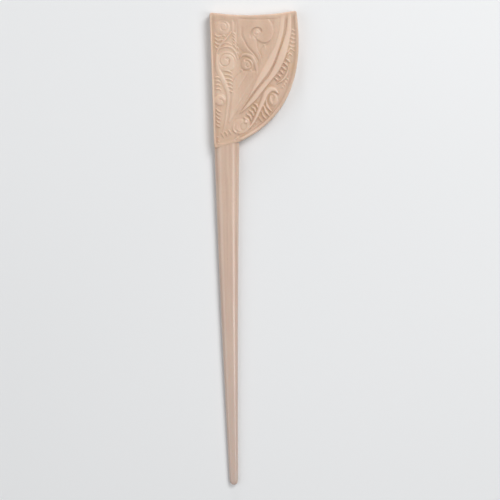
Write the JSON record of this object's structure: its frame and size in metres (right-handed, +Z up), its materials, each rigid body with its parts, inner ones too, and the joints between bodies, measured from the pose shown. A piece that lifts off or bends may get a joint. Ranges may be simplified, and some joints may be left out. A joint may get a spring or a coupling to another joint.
{
  "type": "bone folder",
  "caption": "Slender bone folder with a fan-shaped relief-carved head, a pegged neck joint and a long tapering blade with a round tip.",
  "frame": {"origin": "centre of the tool's footprint, on the surface that its flat back lies on", "axes": "+Y along the length from the blade's tip to the carved head, +X from the head's straight side towards its curved side, +Z up out of the carved face"},
  "size_m": [0.0336, 0.18, 0.0048],
  "materials": {
    "head_bone": "polished carved bone, satin, darker in the cuts",
    "blade_bone": "polished bone, glossy along the rounded edges",
    "peg_bone": "end-grain bone, sanded flush",
    "glue": "cured amber glue"
  },
  "bodies": {
    "root": {"carved_head": "head_bone", "tapered_blade": "blade_bone", "lower_peg": "peg_bone", "upper_peg": "peg_bone", "glue_pad": "glue"}
  },
  "joints": []
}
